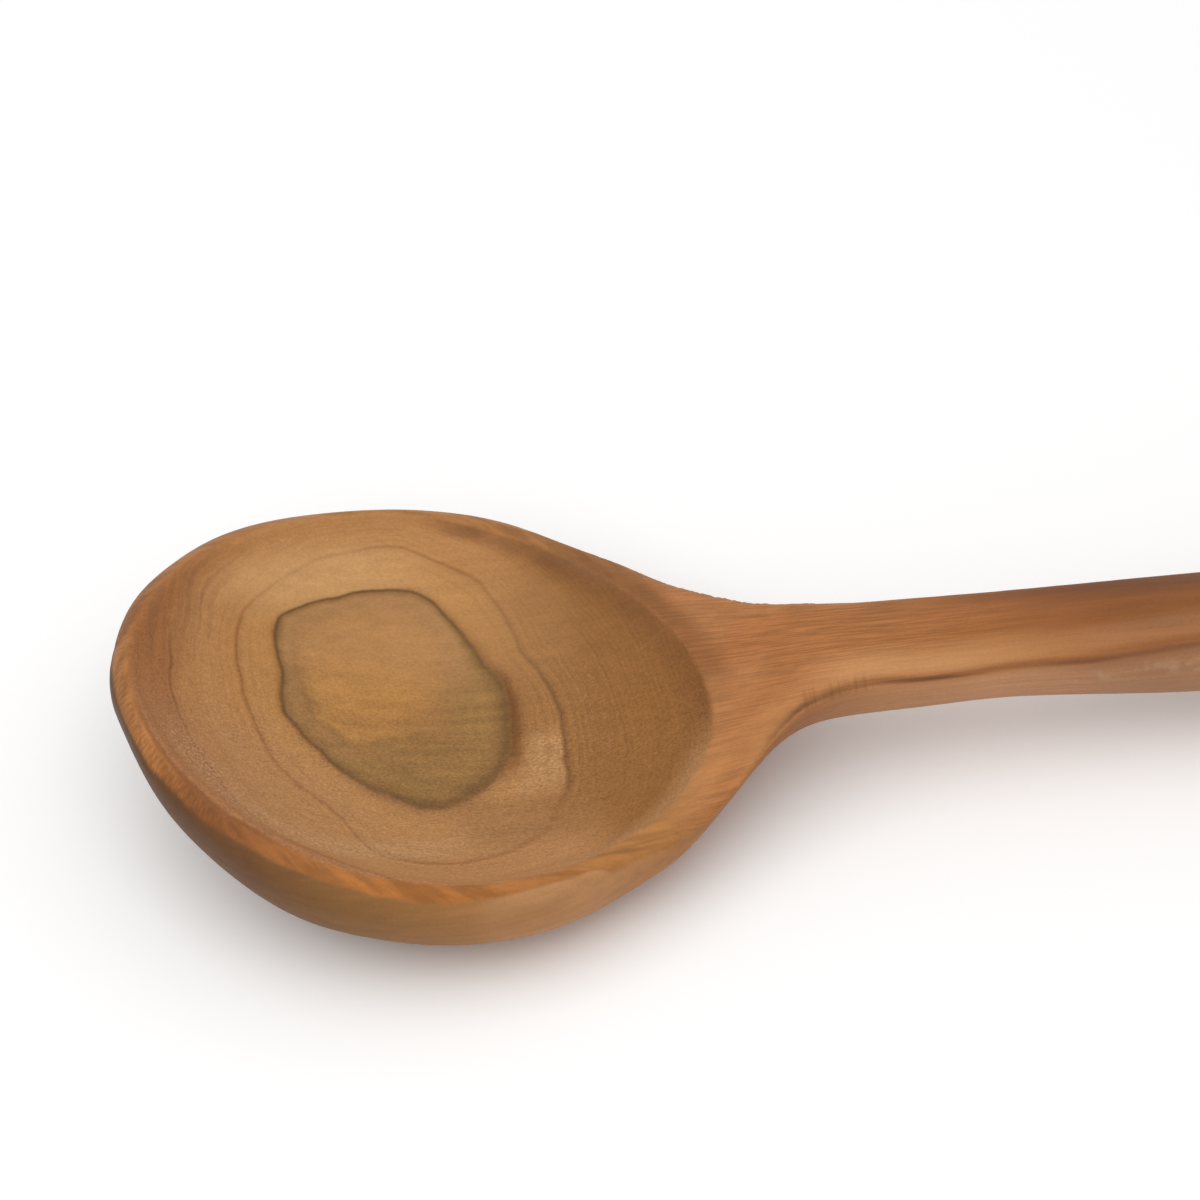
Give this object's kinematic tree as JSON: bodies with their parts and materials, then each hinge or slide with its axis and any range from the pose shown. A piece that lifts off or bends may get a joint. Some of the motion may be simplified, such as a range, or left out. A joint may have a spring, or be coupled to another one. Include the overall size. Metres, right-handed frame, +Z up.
{
  "type": "wooden spoon",
  "caption": "Wooden cooking spoon: a deep oval bowl with a raised, bevelled tip rim, a waisted neck and a long rounded handle, carved from solid wood.",
  "frame": {"origin": "in the small flat under the bowl on which the spoon stands, near the middle of that flat", "axes": "+X from the bowl along the handle, +Z up out of the bowl's hollow, +Y across; the spoon is symmetrical about Y = 0"},
  "size_m": [0.28, 0.0728, 0.0283],
  "materials": {
    "wood": "satin"
  },
  "bodies": {
    "root": {"spoon": "wood"}
  },
  "joints": []
}
